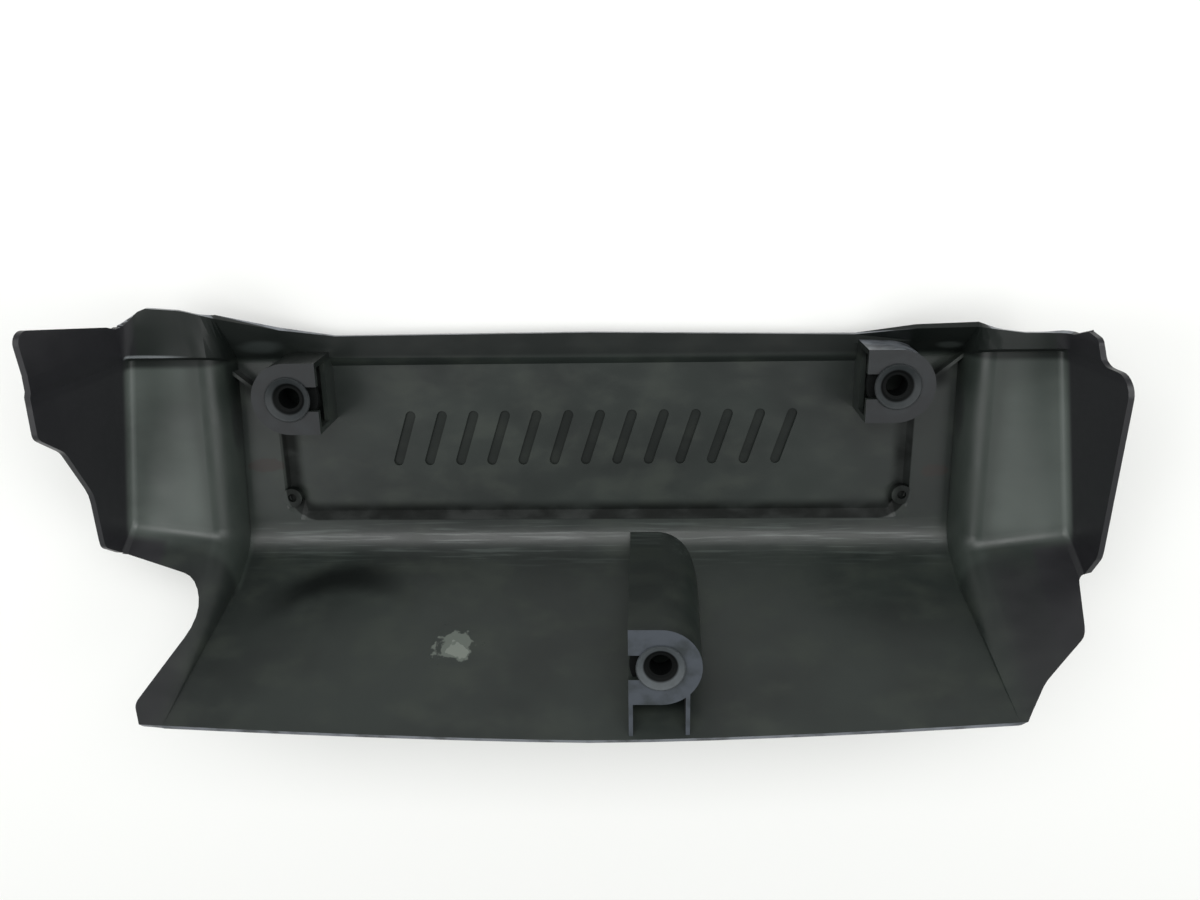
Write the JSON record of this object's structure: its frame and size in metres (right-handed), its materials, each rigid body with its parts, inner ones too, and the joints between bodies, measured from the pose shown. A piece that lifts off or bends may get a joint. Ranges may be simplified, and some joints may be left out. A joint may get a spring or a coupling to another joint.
{
  "type": "engine cover",
  "caption": "Moulded plastic trim cover for the front of an engine, hollow side up, with C-shaped seats holding rubber grommets for ball studs.",
  "frame": {"origin": "middle of the cover's outline on the plane of the outer face that it rests on", "axes": "+X along the cover, to the right as seen in the hollow with the apron towards the viewer; +Y from the apron's rim to the rear edge; +Z out of the hollow, the way the engine's studs leave"},
  "size_m": [0.4753, 0.1891, 0.102],
  "materials": {
    "black_plastic": "fine moulded grain with a soft sheen",
    "grommet_rubber": "dull moulded rubber"
  },
  "bodies": {
    "root": {"cover": "black_plastic", "left_grommet": "grommet_rubber", "right_grommet": "grommet_rubber", "front_grommet": "grommet_rubber"}
  },
  "joints": []
}
